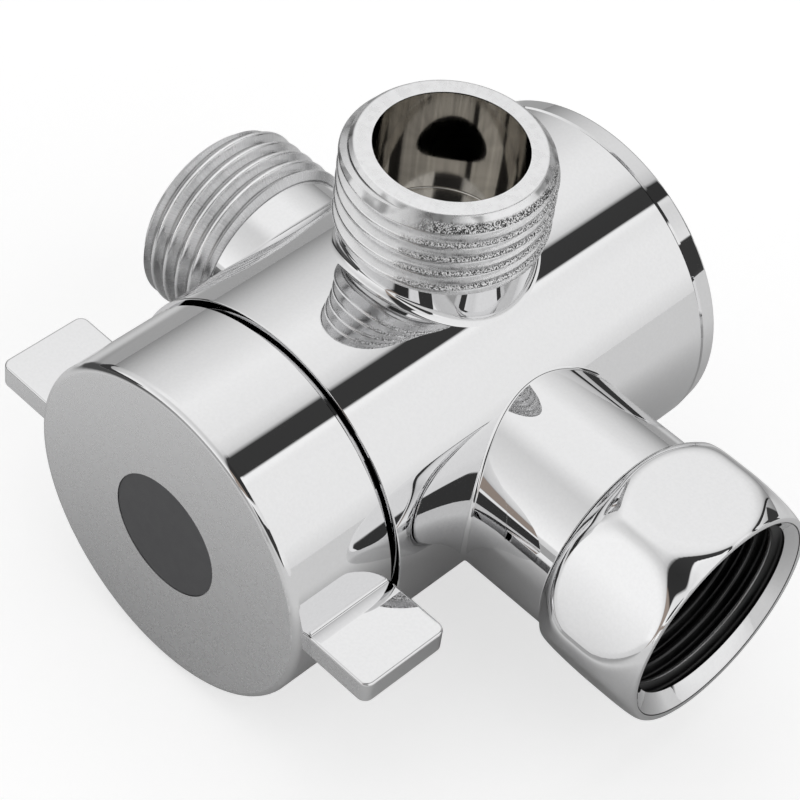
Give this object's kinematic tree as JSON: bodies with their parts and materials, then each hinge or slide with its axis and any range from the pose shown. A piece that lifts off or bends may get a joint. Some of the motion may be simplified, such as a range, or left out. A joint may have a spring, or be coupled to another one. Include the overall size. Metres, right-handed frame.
{
  "type": "shower diverter valve",
  "caption": "Compact chromed diverter valve: a barrel body with a swivel-nut inlet, threaded outlets at right angles and a winged knob that selects the outlet.",
  "frame": {"origin": "on the inlet's axis at the inner end of the swivel nut's thread, where the supply pipe comes up against its washer", "axes": "+X out of the inlet, +Z out of the upper outlet, -X out of the side outlet, -Y towards the handle"},
  "size_m": [0.071, 0.058, 0.0483],
  "materials": {
    "chrome_body": "mirror-polished chrome plate, grainy on the threads",
    "chrome_handle": "mirror-polished chrome plate with a satin face",
    "chrome_nut": "mirror-polished chrome plate",
    "grey_index": "fine matte",
    "black_rubber": "matte moulded",
    "white_acetal": "moulded",
    "white_ceramic": "lapped",
    "plain_brass": "turned",
    "plain_steel": "bright stainless"
  },
  "bodies": {
    "valve": {"valve_body": "chrome_body", "rear_cap": "chrome_body", "rear_cap_o_ring": "black_rubber", "base_seal": "black_rubber", "cartridge_base": "white_acetal", "disc_seal": "black_rubber", "fixed_disc": "white_ceramic", "friction_washer": "white_acetal", "cartridge_housing": "white_acetal", "gland_nut": "plain_brass", "nut_snap_ring": "plain_steel", "filter_screen": "plain_steel", "inlet_washer": "black_rubber"},
    "selector": {"handle": "chrome_handle", "index_disc": "grey_index", "handle_screw": "plain_steel", "lock_washer": "plain_steel", "spindle": "plain_brass", "spindle_o_rings": "black_rubber", "spindle_clip": "plain_steel", "disc_carrier": "white_acetal", "moving_disc": "white_ceramic"},
    "nut": {"swivel_nut": "chrome_nut"}
  },
  "joints": [
    {"name": "handle_turn", "type": "hinge", "parent": "valve", "child": "selector", "pos_m": [-0.0335, 0, 0], "axis": [0, 1, 0], "range_deg": [-45, 45]},
    {"name": "nut_spin", "type": "hinge", "parent": "valve", "child": "nut", "pos_m": [0, 0, 0], "axis": [1, 0, 0], "continuous": true}
  ]
}
